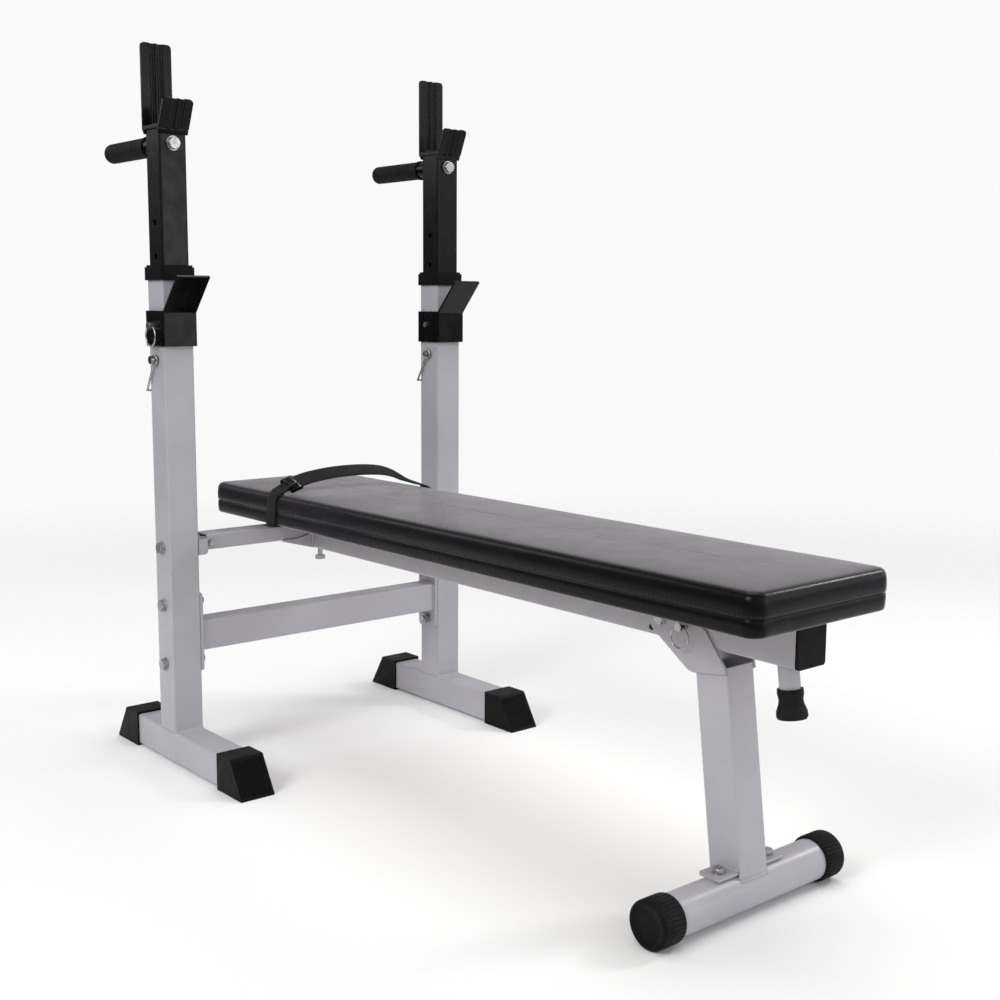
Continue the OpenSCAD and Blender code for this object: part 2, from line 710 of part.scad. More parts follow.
module foot_bolts() {
    color(zinc) at_bench() for (y = [-foot_bolt_y, foot_bolt_y])
        translate([foot_x, y, leg_low[1]]) hex_bolt(m8_r, 20, 8, 13);
}

module foot_tube() {
    len = foot_len - 8;
    color(frame_grey) at_bench() difference() {
        translate([foot_x, -len / 2, foot_cz]) along_y() difference() {
            cylinder(r = foot_r, h = len, $fn = 72);
            translate([0, 0, -1]) cylinder(r = foot_r - 2, h = len + 2, $fn = 72);
        }
        for (y = [-foot_bolt_y, foot_bolt_y]) translate([foot_x, y, foot_cz])
            cylinder(r = m8_hole_r, h = 60, $fn = 40);
    }
}

module foot_cap(side) {
    depth = foot_cap_len - 4;
    color(black_plastic) at_bench() mirror([0, side < 0 ? 1 : 0, 0])
        translate([foot_x, foot_len / 2 - foot_cap_len, foot_cz]) along_y() difference() {
            rotate_extrude($fn = 96) polygon([
                [0, 0], [foot_cap_d / 2, 0], [foot_cap_d / 2, foot_cap_len - 4],
                [foot_cap_d / 2 - 4, foot_cap_len], [0, foot_cap_len]]);
            translate([0, 0, -1]) cylinder(r = foot_r + 0.1, h = depth + 1.2, $fn = 72);
        }
}

// Pull pin on the left ear, shown drawn back by its travel, with its tip inside the ear
pull_face = -side_in - side_t - 1.2 - pull_travel;
pull_ring_r = 13.7;
module leg_pull_pin() color(zinc) at_bench()
    ring_pin(leg_pin[1], leg_pin[0], pull_face, -side_in - 0.6, 5.5, pin_r, ring_hole_r);
module leg_pull_ring() color(zinc) at_bench()
    hanging_ring(leg_pin[1], leg_pin[0], pull_face, pull_ring_r, 1.3);

floor_foot(-1);  // left_floor_foot
floor_foot(1);  // right_floor_foot
post(-1);  // left_post
post(1);  // right_post
front_floor_cap(-1);  // left_front_floor_cap
rear_floor_cap(-1);  // left_rear_floor_cap
front_floor_cap(1);  // right_front_floor_cap
rear_floor_cap(1);  // right_rear_floor_cap
lower_crossbar();
crossbar_end_plates();
crossbar_bolts();
bench_pivot_bolts();
frame_nuts();
post_bushing(-1);  // left_post_bushing
post_bushing(1);  // right_post_bushing
safety_catch(-1);  // left_safety_catch
safety_catch(1);  // right_safety_catch
catch_pin(-1);  // left_catch_pin
catch_pin(1);  // right_catch_pin
catch_ring(-1);  // left_catch_ring
catch_ring(1);  // right_catch_ring
lock_pin(-1);  // left_lock_pin
lock_pin(1);  // right_lock_pin
pin_bail(-1);  // left_pin_bail
pin_bail(1);  // right_pin_bail
rack_tube(-1);  // left_rack_tube
rack_tube(1);  // right_rack_tube
bar_hook(-1);  // left_bar_hook
bar_hook(1);  // right_bar_hook
dip_handle(-1);  // left_dip_handle
dip_handle(1);  // right_dip_handle
dip_grip(-1);  // left_dip_grip
dip_grip(1);  // right_dip_grip
dip_bolt(-1);  // left_dip_bolt
dip_bolt(1);  // right_dip_bolt
bench_beam();
beam_end_cap();
bench_crossbar();
pivot_bracket(-1);  // left_pivot_bracket
pivot_bracket(1);  // right_pivot_bracket
bench_bolts();
beam_gusset();
stub_tube();
stub_rubber_foot();
pad_board();
bench_pad();
pad_brackets();
pad_screws();
foot_strap();
strap_buckle();
leg_pivot_bolt();
front_leg();
leg_bracket();
foot_plate();
foot_bolts();
foot_tube();
foot_cap(-1);  // left_foot_cap
foot_cap(1);  // right_foot_cap
leg_pull_pin();
leg_pull_ring();
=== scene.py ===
"""Looks of the folding weight bench: materials on the CAD frame, and the soft and moulded pieces."""
import json
import math

import bpy
from mathutils import Matrix, Vector, noise


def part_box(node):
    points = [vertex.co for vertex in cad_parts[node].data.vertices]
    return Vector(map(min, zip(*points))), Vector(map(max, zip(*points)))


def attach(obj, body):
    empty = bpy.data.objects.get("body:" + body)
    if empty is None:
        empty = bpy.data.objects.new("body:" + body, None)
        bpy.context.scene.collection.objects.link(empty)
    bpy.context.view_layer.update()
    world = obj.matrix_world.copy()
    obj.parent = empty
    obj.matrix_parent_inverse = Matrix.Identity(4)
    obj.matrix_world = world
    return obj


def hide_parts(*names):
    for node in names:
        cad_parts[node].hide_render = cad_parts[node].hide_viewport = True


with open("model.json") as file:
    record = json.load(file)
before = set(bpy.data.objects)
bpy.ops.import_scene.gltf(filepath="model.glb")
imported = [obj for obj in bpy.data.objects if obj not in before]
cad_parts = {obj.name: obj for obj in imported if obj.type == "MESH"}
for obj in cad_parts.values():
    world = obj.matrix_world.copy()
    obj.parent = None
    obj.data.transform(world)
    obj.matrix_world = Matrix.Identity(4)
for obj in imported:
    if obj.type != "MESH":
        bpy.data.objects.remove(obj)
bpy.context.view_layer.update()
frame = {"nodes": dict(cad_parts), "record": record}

MM = 0.001
LEFT, RIGHT = -1, 1
NAMES = {LEFT: "left", RIGHT: "right"}


def box_of(node):
    """The lowest and highest corner of a CAD node's box."""
    low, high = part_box(node)
    return Vector(low), Vector(high)


def mid(node):
    """The middle of a CAD node's box."""
    low, high = box_of(node)
    return (low + high) / 2


pad_low, pad_high = box_of("bench_pad")
pad_centre = mid("bench_pad")
pad_half_x = (pad_high.x - pad_low.x) / 2
pad_half_y = (pad_high.y - pad_low.y) / 2
pad_thick = pad_high.z - pad_low.z
post_x = mid("left_post").x
tube_half = (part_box("left_post")[1][0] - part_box("left_post")[0][0]) / 2


# Camera: azimuth, pitch and roll in degrees, and its place in metres

CAMERA_TURN = (49.73, -8.14, 0.36)
CAMERA_PLACE = (1.516, -1.2405, 0.7276)
CAMERA_LENS = 48.87
SENSOR_WIDTH = 36


def make_camera():
    azimuth, pitch, roll = (math.radians(angle) for angle in CAMERA_TURN)
    forward = Vector((-math.sin(azimuth) * math.cos(pitch), math.cos(azimuth) * math.cos(pitch),
                      math.sin(pitch)))
    level = Vector((math.cos(azimuth), math.sin(azimuth), 0))
    upright = level.cross(forward)
    right = level * math.cos(roll) + upright * math.sin(roll)
    up = upright * math.cos(roll) - level * math.sin(roll)
    data = bpy.data.cameras.new("camera")
    data.sensor_width = SENSOR_WIDTH
    data.lens = CAMERA_LENS
    camera = bpy.data.objects.new("camera", data)
    turn = Matrix((right, up, -forward)).transposed().to_4x4()
    camera.matrix_world = Matrix.Translation(CAMERA_PLACE) @ turn
    bpy.context.scene.collection.objects.link(camera)
    bpy.context.scene.camera = camera


# Mesh helpers

def new_object(name, verts, faces, material, smooth=True):
    mesh = bpy.data.meshes.new(name)
    mesh.from_pydata([tuple(v) for v in verts], [], faces)
    mesh.validate()
    mesh.update()
    for polygon in mesh.polygons:
        polygon.use_smooth = smooth
    mesh.materials.append(material)
    obj = bpy.data.objects.new(name, mesh)
    bpy.context.scene.collection.objects.link(obj)
    return obj


def ring_faces(rings, around, closed_rings=False):
    """Quads between neighbouring rings of `around` points each."""
    faces = []
    for i in range(rings if closed_rings else rings - 1):
        for j in range(around):
            a, b = i * around, ((i + 1) % rings) * around
            k = (j + 1) % around
            faces.append((a + j, a + k, b + k, b + j))
    return faces


def tube_faces(rings, around):
    """The quads of a tube and the two faces that close its ends."""
    first = tuple(reversed(range(around)))
    last = tuple((rings - 1) * around + j for j in range(around))
    return ring_faces(rings, around) + [first, last]


def along(start, axis):
    """A matrix that puts the origin at start and turns Z to the axis."""
    turn = Vector(axis).to_track_quat("Z", "Y").to_matrix().to_4x4()
    return Matrix.Translation(start) @ turn


def lathe(name, profile, place, material, around=72, flutes=0, flute_depth=0.0, fluted=()):
    """Turns (radius, height) points about Z, then moves the result by the matrix `place`.
    `flutes` shallow grooves run across the rings whose index is in `fluted`."""
    verts = []
    for i, (radius, height) in enumerate(profile):
        for j in range(around):
            angle = 2 * math.pi * j / around
            r = radius
            if i in fluted:
                r -= flute_depth * (0.5 + 0.5 * math.cos(flutes * angle)) ** 2
            verts.append(place @ Vector((r * math.cos(angle), r * math.sin(angle), height)))
    return new_object(name, verts, tube_faces(len(profile), around), material)


def apply_modifiers(obj):
    graph = bpy.context.evaluated_depsgraph_get()
    mesh = bpy.data.meshes.new_from_object(obj.evaluated_get(graph), depsgraph=graph)
    obj.modifiers.clear()
    obj.data = mesh


def bevelled_box(name, size, place, material, bevel, segments=3):
    half = Vector(size) / 2
    square = [(-1, -1), (1, -1), (1, 1), (-1, 1)]
    corners = [Vector((i * half.x, j * half.y, k * half.z)) for k in (-1, 1) for i, j in square]
    faces = [(0, 3, 2, 1), (4, 5, 6, 7), (0, 1, 5, 4), (1, 2, 6, 5), (2, 3, 7, 6), (3, 0, 4, 7)]
    obj = new_object(name, [place @ corner for corner in corners], faces, material)
    cut = obj.modifiers.new("bevel", "BEVEL")
    cut.width = bevel
    cut.segments = segments
    cut.harden_normals = True
    apply_modifiers(obj)
    return obj


def join(name, objects):
    """Joins meshes into the first one."""
    with bpy.context.temp_override(active_object=objects[0], selected_objects=objects,
                                   selected_editable_objects=objects, object=objects[0]):
        bpy.ops.object.join()
    objects[0].name = name
    objects[0].data.name = name
    return objects[0]


def bead_along(name, points, radius, material):
    """A weld bead swept along points: rippled, and thin at both ends."""
    around = 8
    ripple = 0.16
    last = len(points) - 1
    verts = []
    for i, p in enumerate(points):
        direction = points[min(i + 1, last)] - points[max(i - 1, 0)]
        place = along(p, direction.normalized())
        r = radius * (1 + ripple * math.sin(i * 2.1) + ripple * noise.noise(p * 900))
        if i in (0, last):
            r *= 0.4
        for j in range(around):
            angle = 2 * math.pi * j / around
            verts.append(place @ Vector((r * math.cos(angle), r * math.sin(angle), 0)))
    return new_object(name, verts, tube_faces(len(points), around), material)


def smooth_path(points, steps, closed=False):
    """Catmull-Rom curve through the points."""
    count = len(points)
    out = []
    for i in range(count if closed else count - 1):
        if closed:
            p0, p1, p2, p3 = (points[(i + k - 1) % count] for k in range(4))
        else:
            p0, p1, p2, p3 = (points[min(max(i + k - 1, 0), count - 1)] for k in range(4))
        for step in range(steps):
            t = step / steps
            out.append(0.5 * (2 * p1 + (p2 - p0) * t + (2 * p0 - 5 * p1 + 4 * p2 - p3) * t * t
                              + (3 * p1 - p0 - 3 * p2 + p3) * t ** 3))
    if not closed:
        out.append(points[-1])
    return out


# Materials

class Look:
    """A material with one Principled shader, and helpers that feed its sockets."""

    def __init__(self, name):
        self.material = bpy.data.materials.new(name)
        self.material.use_nodes = True
        self.tree = self.material.node_tree
        self.shader = self.tree.nodes["Principled BSDF"]
        self.coords = self.tree.nodes.new("ShaderNodeTexCoord")

    def node(self, kind, **values):
        made = self.tree.nodes.new(kind)
        for key, value in values.items():
            setattr(made, key, value)
        return made

    def link(self, a, b):
        self.tree.links.new(a, b)

    def set(self, **values):
        """Sets the shader's own sockets, with _ for a space in a socket's name."""
        for key, value in values.items():
            self.shader.inputs[key.replace("_", " ")].default_value = value

    def noise(self, scale, detail, roughness=0.5, stretch=None):
        texture = self.node("ShaderNodeTexNoise")
        texture.inputs["Scale"].default_value = scale
        texture.inputs["Detail"].default_value = detail
        texture.inputs["Roughness"].default_value = roughness
        source = self.coords.outputs["Object"]
        if stretch:
            mapping = self.node("ShaderNodeMapping")
            mapping.inputs["Scale"].default_value = stretch
            self.link(source, mapping.inputs["Vector"])
            source = mapping.outputs["Vector"]
        self.link(source, texture.inputs["Vector"])
        return texture.outputs["Fac"]

    def cells(self, scale, feature="F1"):
        texture = self.node("ShaderNodeTexVoronoi", feature=feature)
        texture.inputs["Scale"].default_value = scale
        self.link(self.coords.outputs["Object"], texture.inputs["Vector"])
        return texture.outputs["Distance"]

    def bands(self, scale, direction):
        texture = self.node("ShaderNodeTexWave", bands_direction=direction)
        texture.inputs["Scale"].default_value = scale
        self.link(self.coords.outputs["UV"], texture.inputs["Vector"])
        return texture.outputs["Fac"]

    def times(self, a, b):
        made = self.node("ShaderNodeMath", operation="MULTIPLY")
        self.link(a, made.inputs[0])
        self.link(b, made.inputs[1])
        return made.outputs[0]

    def colour(self, source, stops):
        """Colours the surface by a value between 0 and 1, from (value, colour) stops."""
        made = self.node("ShaderNodeValToRGB")
        elements = made.color_ramp.elements
        while len(elements) < len(stops):
            elements.new(0.5)
        for element, (position, colour) in zip(elements, stops):
            element.position = position
            element.color = (*colour, 1)
        self.link(source, made.inputs["Fac"])
        self.link(made.outputs["Color"], self.shader.inputs["Base Color"])

    def roughness(self, source, low, high):
        """Roughness from low to high as the source goes through its middle range."""
        made = self.node("ShaderNodeMapRange")
        made.inputs["From Min"].default_value = 0.3
        made.inputs["From Max"].default_value = 0.7
        made.inputs["To Min"].default_value = low
        made.inputs["To Max"].default_value = high
        self.link(source, made.inputs["Value"])
        self.link(made.outputs[0], self.shader.inputs["Roughness"])

    def bump(self, *layers, edge=0.0):
        """Stacks (height, distance, strength) bumps, on edges rounded by the radius `edge`."""
        normal = None
        if edge:
            rounded = self.node("ShaderNodeBevel", samples=4)
            rounded.inputs["Radius"].default_value = edge
            normal = rounded.outputs["Normal"]
        for height, distance, strength in layers:
            made = self.node("ShaderNodeBump")
            made.inputs["Distance"].default_value = distance
            made.inputs["Strength"].default_value = strength
            self.link(height, made.inputs["Height"])
            if normal:
                self.link(normal, made.inputs["Normal"])
            normal = made.outputs["Normal"]
        self.link(normal, self.shader.inputs["Normal"])


def powder_coat():
    """Silver-grey powder coat: faint orange peel, slight tone drift and handling marks."""
    look = Look("frame_paint")
    look.set(Metallic=0.0, Coat_Weight=0.12, Coat_Roughness=0.2)
    tone = look.noise(9, 4)
    look.colour(tone, [(0.3, (0.372, 0.362, 0.404)), (0.7, (0.42, 0.409, 0.456))])
    look.roughness(look.noise(35, 5), 0.33, 0.46)
    look.bump((look.noise(420, 2), 0.0002, 0.18), (look.noise(1500, 2), 0.0001, 0.1), edge=0.0012)
    return look.material


def black_steel():
    """Gloss black powder coat with fine orange peel and dusty rubbed patches."""
    look = Look("black_steel")
    look.set(Specular_IOR_Level=0.2)
    look.colour(look.noise(14, 6), [(0.3, (0.0012, 0.0012, 0.0012)), (0.75, (0.0035, 0.0032, 0.003))])
    look.roughness(look.noise(50, 5), 0.16, 0.3)
    look.bump((look.noise(500, 2), 0.0002, 0.22), edge=0.0011)
    return look.material


def black_plastic():
    """Moulded black plastic with a fine spark-eroded grain."""
    look = Look("black_plastic")
    look.set(Specular_IOR_Level=0.1)
    look.colour(look.noise(20, 4), [(0.3, (0.002, 0.002, 0.0022)), (0.7, (0.0042, 0.0042, 0.0046))])
    look.roughness(look.noise(60, 4), 0.4, 0.55)
    look.bump((look.cells(1400), 0.0002, 0.25), edge=0.0008)
    return look.material


def rubber():
    """Matt black rubber, slightly dusty."""
    look = Look("grip_rubber")
    look.set(Specular_IOR_Level=0.2)
    look.colour(look.noise(40, 6), [(0.3, (0.003, 0.003, 0.003)), (0.75, (0.009, 0.0085, 0.008))])
    look.roughness(look.noise(120, 4), 0.6, 0.78)
    look.bump((look.noise(1100, 3), 0.0003, 0.3), edge=0.0008)
    return look.material


def zinc_plate():
    """Bright zinc with faint brushing and blue-yellow passivation."""
    look = Look("zinc")
    look.set(Metallic=1.0)
    look.colour(look.noise(120, 3), [(0.35, (0.34, 0.345, 0.365)), (0.65, (0.46, 0.45, 0.42))])
    look.roughness(look.noise(300, 4), 0.2, 0.38)
    look.bump((look.noise(400, 3, stretch=(1, 6, 1)), 0.0001, 0.2), edge=0.0004)
    return look.material


def padded_vinyl():
    """Black vinyl with a pressed leather grain and a pale haze where it is seen at a grazing angle."""
    look = Look("vinyl")
    look.set(Specular_IOR_Level=0.12, Sheen_Weight=0.5, Sheen_Roughness=0.34, Sheen_Tint=(1.0, 0.9, 1.0, 1))
    look.colour(look.noise(6, 4), [(0.3, (0.0012, 0.0012, 0.0014)), (0.75, (0.003, 0.0028, 0.0034))])
    look.roughness(look.noise(25, 6), 0.2, 0.3)
    creases = look.cells(620, "DISTANCE_TO_EDGE")
    look.bump((look.noise(30, 4), 0.0006, 0.15), (creases, 0.0003, 0.14), (look.noise(2200, 2), 0.0001, 0.15))
    return look.material


def plywood():
    """Raw plywood seen from below: long grain with darker streaks."""
    look = Look("plywood")
    grain = look.noise(60, 8, 0.6, stretch=(0.12, 1, 1))
    look.colour(grain, [(0.3, (0.30, 0.19, 0.10)), (0.55, (0.50, 0.36, 0.21)), (0.8, (0.60, 0.46, 0.30))])
    look.roughness(grain, 0.6, 0.8)
    look.bump((grain, 0.0003, 0.3))
    return look.material


def webbing():
    """Black woven nylon: fine ribs across and along, from the strap's own UVs in metres."""
    look = Look("webbing")
    look.set(Sheen_Weight=0.06, Sheen_Roughness=0.5, Specular_IOR_Level=0.2)
    across = look.bands(260, "X")
    lengthwise = look.bands(190, "Y")
    weave = look.times(across, lengthwise)
    look.colour(weave, [(0.1, (0.002, 0.002, 0.002)), (0.8, (0.011, 0.011, 0.0115))])
    look.roughness(weave, 0.75, 0.5)
    look.bump((weave, 0.0005, 0.7), (look.noise(1800, 2), 0.0002, 0.3))
    return look.material


def stitch_thread():
    """Black sewing thread with a fine twist."""
    look = Look("thread")
    look.colour(look.noise(900, 2), [(0.3, (0.008, 0.008, 0.008)), (0.7, (0.02, 0.02, 0.021))])
    look.roughness(look.noise(500, 2), 0.5, 0.7)
    look.bump((look.noise(3000, 2), 0.0001, 0.4))
    return look.material


def floor_paint():
    """Pale matt floor that thins out with distance, so that it runs into the white background."""
    look = Look("floor_paint")
    look.colour(look.noise(1.5, 3), [(0.3, (0.93, 0.93, 0.93)), (0.7, (0.94, 0.94, 0.94))])
    look.set(Roughness=0.9, Specular_IOR_Level=0.1)
    away = look.node("ShaderNodeVectorMath", operation="LENGTH")
    look.link(look.coords.outputs["Object"], away.inputs[0])
    fade = look.node("ShaderNodeMapRange", interpolation_type="SMOOTHSTEP")
    fade.inputs["From Min"].default_value = 1.2
    fade.inputs["From Max"].default_value = 3.4
    look.link(away.outputs["Value"], fade.inputs["Value"])
    clear = look.node("ShaderNodeBsdfTransparent")
    mix = look.node("ShaderNodeMixShader")
    look.link(fade.outputs[0], mix.inputs["Fac"])
    look.link(look.shader.outputs[0], mix.inputs[1])
    look.link(clear.outputs[0], mix.inputs[2])
    look.link(mix.outputs[0], look.tree.nodes["Material Output"].inputs["Surface"])
    return look.material


SLOT_MAKERS = {"frame_paint": powder_coat, "black_steel": black_steel, "black_plastic": black_plastic,
               "grip_rubber": rubber, "zinc": zinc_plate, "vinyl": padded_vinyl, "plywood": plywood,
               "webbing": webbing}
MATERIALS = {slot: make() for slot, make in SLOT_MAKERS.items()}
THREAD = stitch_thread()


def paint_cad_nodes():
    for part in frame["record"]["subparts"]:
        obj = frame["nodes"][part["node"]]
        for slot in obj.material_slots:
            slot.material = MATERIALS[part["material_slot"]]


def finish_piece(obj, body, slot, *replaced):
    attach(obj, body)
    if replaced:
        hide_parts(*replaced)


# Pad

PAD_CORNER = 20 * MM
# A corner's radius shrinks by this much at most as the outline moves inward
RADIUS_LOSS = 0.6 * PAD_CORNER
# Height of the side seam, as a share of the pad's thickness
SEAM_AT = 0.42
THREAD_RADIUS = 0.35 * MM
STAPLE_MARGIN = 14 * MM


def rounded_outline(half_x, half_y, radius, straight_step):
    """Points round a rectangle with round corners, counter-clockwise, with a steady spacing."""
    arc_steps = 12
    signs = [(1, 1), (-1, 1), (-1, -1), (1, -1)]
    points = []
    for index, (sign_x, sign_y) in enumerate(signs):
        centre = Vector((sign_x * (half_x - radius), sign_y * (half_y - radius)))
        for k in range(arc_steps + 1):
            angle = math.radians(90 * index + 90 * k / arc_steps)
            points.append(centre + radius * Vector((math.cos(angle), math.sin(angle))))
        next_x, next_y = signs[(index + 1) % 4]
        following = Vector((next_x * (half_x - radius), next_y * (half_y - radius)))
        side = Vector((math.cos(angle), math.sin(angle))) * radius
        a, b = centre + side, following + side
        steps = max(2, round((b - a).length / straight_step))
        points += [a.lerp(b, k / steps) for k in range(1, steps)]
    return points


def pad_profile(thick):
    """(inset, height) steps up the pad's side: tucked bottom, seam groove, soft top edge and crown."""
    seam = SEAM_AT * thick
    return [(20, 0.1), (9, 0.0), (3.5, 0.3), (1.4, 1.6), (0.5, 4), (0.1, 8), (-0.2, 13), (0.1, seam - 2.6),
            (0.6, seam - 1.2), (1.9, seam - 0.3), (1.9, seam + 0.3), (0.5, seam + 1.2), (0.0, seam + 2.6),
            (-0.4, seam + 8), (-0.3, seam + 14), (0.1, thick - 11), (0.8, thick - 7.5), (2.0, thick - 4.6),
            (3.9, thick - 2.3), (6.4, thick - 0.9), (9.5, thick - 0.2), (14, thick + 0.2), (22, thick + 0.7),
            (34, thick + 1.2), (50, thick + 1.6), (68, thick + 1.8), (88, thick + 1.9), (106, thick + 1.9),
            (118, thick + 1.9)]


def moved_in(value, half, inset):
    """One coordinate of the pad's outline moved inward: the corner's radius shrinks first, then the sides."""
    sign = math.copysign(1, value)
    arc_start = half - PAD_CORNER
    core = sign * max(arc_start - max(0, inset - RADIUS_LOSS), 0)
    if abs(value) > arc_start:
        radius_left = PAD_CORNER - min(inset, RADIUS_LOSS)
        return core + (value - sign * arc_start) * radius_left / PAD_CORNER
    return value * core / (sign * arc_start)


def upholstery_offset(point, height, thick):
    """Small folds, in millimetres: puckers along the sewn top edge, pleats where the vinyl is pulled
    under the pad, and soft waves on its side and top."""
    where = Vector((point.x, point.y, 0))
    outward = where.normalized()
    top_edge = math.exp(-((height - (thick - 5)) / 4.5) ** 2)
    pucker = 0.22 * noise.noise(where * 170) * top_edge
    if height >= thick - 1:
        top_wave = 0.25 * noise.noise(Vector((point.x * 9, point.y * 9, 2)))
        return outward * pucker + Vector((0, 0, pucker + top_wave))
    bottom_edge = math.exp(-((height - 5) / 5) ** 2)
    pleat = 0.35 * noise.noise(where * 60 + Vector((0, 0, 4))) * bottom_edge
    wave = 0.35 * noise.noise(Vector((point.x * 16, point.y * 16, height * 0.06)))
    return outward * (pucker + wave + pleat) + Vector((0, 0, pucker))


def make_pad():
    """Upholstered slab: a crowned top, a puckered top edge, and a sewn seam round its side."""
    thick = pad_thick / MM
    outline = rounded_outline(pad_half_x, pad_half_y, PAD_CORNER, 7 * MM)
    profile = pad_profile(thick)
    verts = []
    for inset, height in profile:
        for point in outline:
            place = Vector((pad_centre.x + moved_in(point.x, pad_half_x, inset * MM),
                            pad_centre.y + moved_in(point.y, pad_half_y, inset * MM),
                            pad_low.z + height * MM))
            verts.append(place + upholstery_offset(point, height, thick) * MM)
    count = len(outline)
    crown = tuple((len(profile) - 1) * count + j for j in range(count))
    faces = ring_faces(len(profile), count) + [crown]
    return new_object("pad_cushion", verts, faces, MATERIALS["vinyl"])


def make_seam_stitches():
    """Thread along the side seam: short stitches just above the groove, thin at both ends."""
    proud = 0.1 * MM
    sides = 6
    outline = rounded_outline(pad_half_x + proud, pad_half_y + proud, PAD_CORNER, 3.5 * MM)
    height = pad_low.z + SEAM_AT * pad_thick + 3.6 * MM
    verts, faces = [], []
    for a, b in zip(outline[0::2], outline[1::2]):
        direction = b - a
        if direction.length < 1 * MM:
            continue
        sideways = Vector((direction.y, -direction.x)).normalized()
        start = len(verts)
        for p, grow in ((a, 0.3), (a.lerp(b, 0.2), 1), (a.lerp(b, 0.8), 1), (b, 0.3)):
            for k in range(sides):
                angle = 2 * math.pi * k / sides
                out = p + sideways * THREAD_RADIUS * math.cos(angle) * grow
                lift = THREAD_RADIUS * math.sin(angle) * grow
                verts.append(Vector((pad_centre.x + out.x, pad_centre.y + out.y, height + lift)))
        faces += [tuple(start + index for index in face) for face in tube_faces(4, sides)]
    return new_object("pad_seam_stitches", verts, faces, THREAD)


def make_staples():
    """Staples that hold the vinyl to the underside of the board."""
    outline = rounded_outline(pad_half_x - STAPLE_MARGIN, pad_half_y - STAPLE_MARGIN, STAPLE_MARGIN, 38 * MM)
    arc_x, arc_y = pad_half_x - 2 * STAPLE_MARGIN, pad_half_y - 2 * STAPLE_MARGIN
    size = (11 * MM, 1.1 * MM, 0.5 * MM)
    pieces = []
    for index, point in enumerate(outline):
        on_arc = abs(point.x) > arc_x and abs(point.y) > arc_y
        if on_arc and index % 4:
            continue
        if on_arc:
            angle = math.atan2(point.y, point.x)
        elif abs(point.y) > arc_y:
            angle = 0
        else:
            angle = math.pi / 2
        place = Matrix.Translation((pad_centre.x + point.x, pad_centre.y + point.y, pad_low.z - 0.15 * MM))
        turn = Matrix.Rotation(angle + 0.12 * noise.noise(Vector((index, 0, 0))), 4, "Z")
        pieces.append(bevelled_box(f"staple_{index}", size, place @ turn, MATERIALS["zinc"], 0.15 * MM, 1))
    return join("pad_staples", pieces)


# Strap

STRAP_WIDTH = 28 * MM
STRAP_THICK = 1.6 * MM
ARCH_LEAN = 34
ARCH_LEAN_RISE = 18 * MM


def strap_route():
    """The middle line of the webbing, as in the CAD model: (x from the posts, y, base height, lift)."""
    side = pad_half_y + 1.8 * MM
    low, top = pad_low.z, pad_high.z
    under = low - 1.1 * MM
    rows = [(60, -side, low, 6), (62, -side, top, -30), (64, -side, top, -9), (68, -side + 3 * MM, top, 1),
            (72, -side + 12 * MM, top, 7), (72, -74 * MM, top, 20), (76, -50 * MM, top, 25),
            (82, -20 * MM, top, 29), (87, 15 * MM, top, 30.5), (90, 50 * MM, top, 29),
            (94, 75 * MM, top, 25), (105, 93 * MM, top, 17), (122, 108 * MM, top, 8),
            (134, side - 4 * MM, top, 2), (140, side, top, -9), (140, side, top, -30), (138, side, low, 6),
            (136, side, low, -0.4), (134, side - 1.8 * MM, under, 0), (110, 40 * MM, under, 0),
            (88, -40 * MM, under, 0), (62, -side + 1.8 * MM, under, 0), (60, -side, low, -0.4)]
    return [Vector((post_x + x * MM, y, base + lift * MM)) for x, y, base, lift in rows]


def arch_lean(point):
    """Slack webbing twists as it lifts off the pad: its foot-end edge hangs lower."""
    lifted = min(max((point.z - pad_high.z) / ARCH_LEAN_RISE, 0), 1)
    return math.radians(ARCH_LEAN) * lifted


def ribbon(name, points, width, thick, closed=False, taper_end=False, lean=None):
    """Flat webbing with rounded edges and UVs in metres: U across, V along."""
    section = [(-0.5, 0), (-0.47, 0.38), (-0.3, 0.5), (0, 0.5), (0.3, 0.5), (0.47, 0.38),
               (0.5, 0), (0.47, -0.38), (0.3, -0.5), (0, -0.5), (-0.3, -0.5), (-0.47, -0.38)]
    around = len(section)
    count = len(points)
    verts, lengths = [], []
    travelled = 0.0
    for i, p in enumerate(points):
        ahead = points[(i + 1) % count] if closed or i + 1 < count else p
        behind = points[i - 1] if closed or i > 0 else p
        tangent = (ahead - behind).normalized()
        across = Vector((1, 0, 0))
        if lean:
            across.rotate(Matrix.Rotation(lean(p), 3, "Y"))
        normal = across.cross(tangent).normalized()
        wide = width * (0.75 if taper_end and i == count - 1 else 1)
        for u, t in section:
            verts.append(p + across * u * wide + normal * t * thick)
        lengths.append(travelled)
        if i + 1 < count:
            travelled += (points[i + 1] - p).length
    faces = ring_faces(count, around, True) if closed else tube_faces(count, around)
    obj = new_object(name, verts, faces, MATERIALS["webbing"])
    layer = obj.data.uv_layers.new(name="webbing")
    for loop in obj.data.loops:
        ring, place = divmod(loop.vertex_index, around)
        layer.data[loop.index].uv = (section[place][0] * width, lengths[ring])
    return obj


def buckle_place():
    """Matrix at the buckle: X across the strap, Y along it towards the top of the arch, Z outwards."""
    a, b = strap_route()[4:6]
    forward = Vector((0, b.y - a.y, b.z - a.z)).normalized()
    across = Vector((1, 0, 0))
    turn = Matrix((across, forward, across.cross(forward))).transposed().to_4x4()
    lean = Matrix.Rotation(arch_lean((a + b) / 2), 4, forward)
    return Matrix.Translation((a + b) / 2) @ lean @ turn


